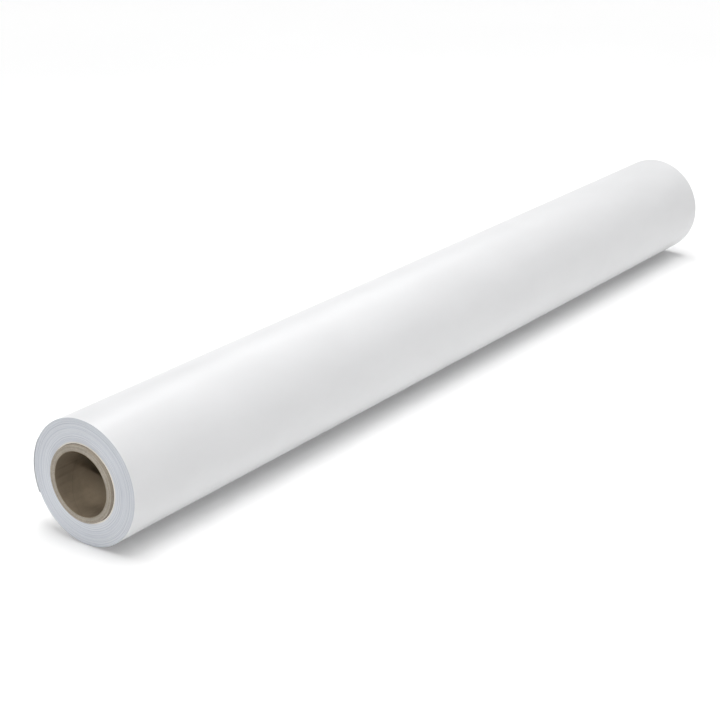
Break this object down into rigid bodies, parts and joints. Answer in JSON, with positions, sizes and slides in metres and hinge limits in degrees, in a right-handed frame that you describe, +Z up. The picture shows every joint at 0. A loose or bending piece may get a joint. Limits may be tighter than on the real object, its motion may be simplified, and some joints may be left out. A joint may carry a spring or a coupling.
{
  "type": "backdrop paper roll",
  "caption": "Half-width roll of white satin studio backdrop paper wound on an open paperboard core, with a free tail that lifts off the roll.",
  "frame": {"origin": "bottom centre, on the surface under the middle of the roll where it lies on its side", "axes": "+X along the roll's axis, +Z up, +Y towards the side that carries the free tail"},
  "size_m": [1.359, 0.1505, 0.1503],
  "materials": {
    "white_paper": "satin",
    "kraft_liner": "matte",
    "grey_board": "matte",
    "kraft_outer": "matte",
    "start_tape": "matte",
    "tab_tape": "satin"
  },
  "bodies": {
    "roll": {"core_inner_liner": "kraft_liner", "core_board_ply_1": "grey_board", "core_board_ply_2": "grey_board", "core_board_ply_3": "grey_board", "core_board_ply_4": "grey_board", "core_board_ply_5": "grey_board", "core_board_ply_6": "grey_board", "core_board_ply_7": "grey_board", "core_board_ply_8": "grey_board", "core_outer_ply": "kraft_outer", "start_tape": "start_tape", "wound_paper": "white_paper"},
    "tail": {"paper_tail": "white_paper", "tail_tabs": "tab_tape"}
  },
  "joints": [
    {"name": "tail_lift", "type": "hinge", "parent": "roll", "child": "tail", "pos_m": [0, 0.06527, 0.11268], "axis": [1, 0, 0], "range_deg": [0, 60]}
  ]
}
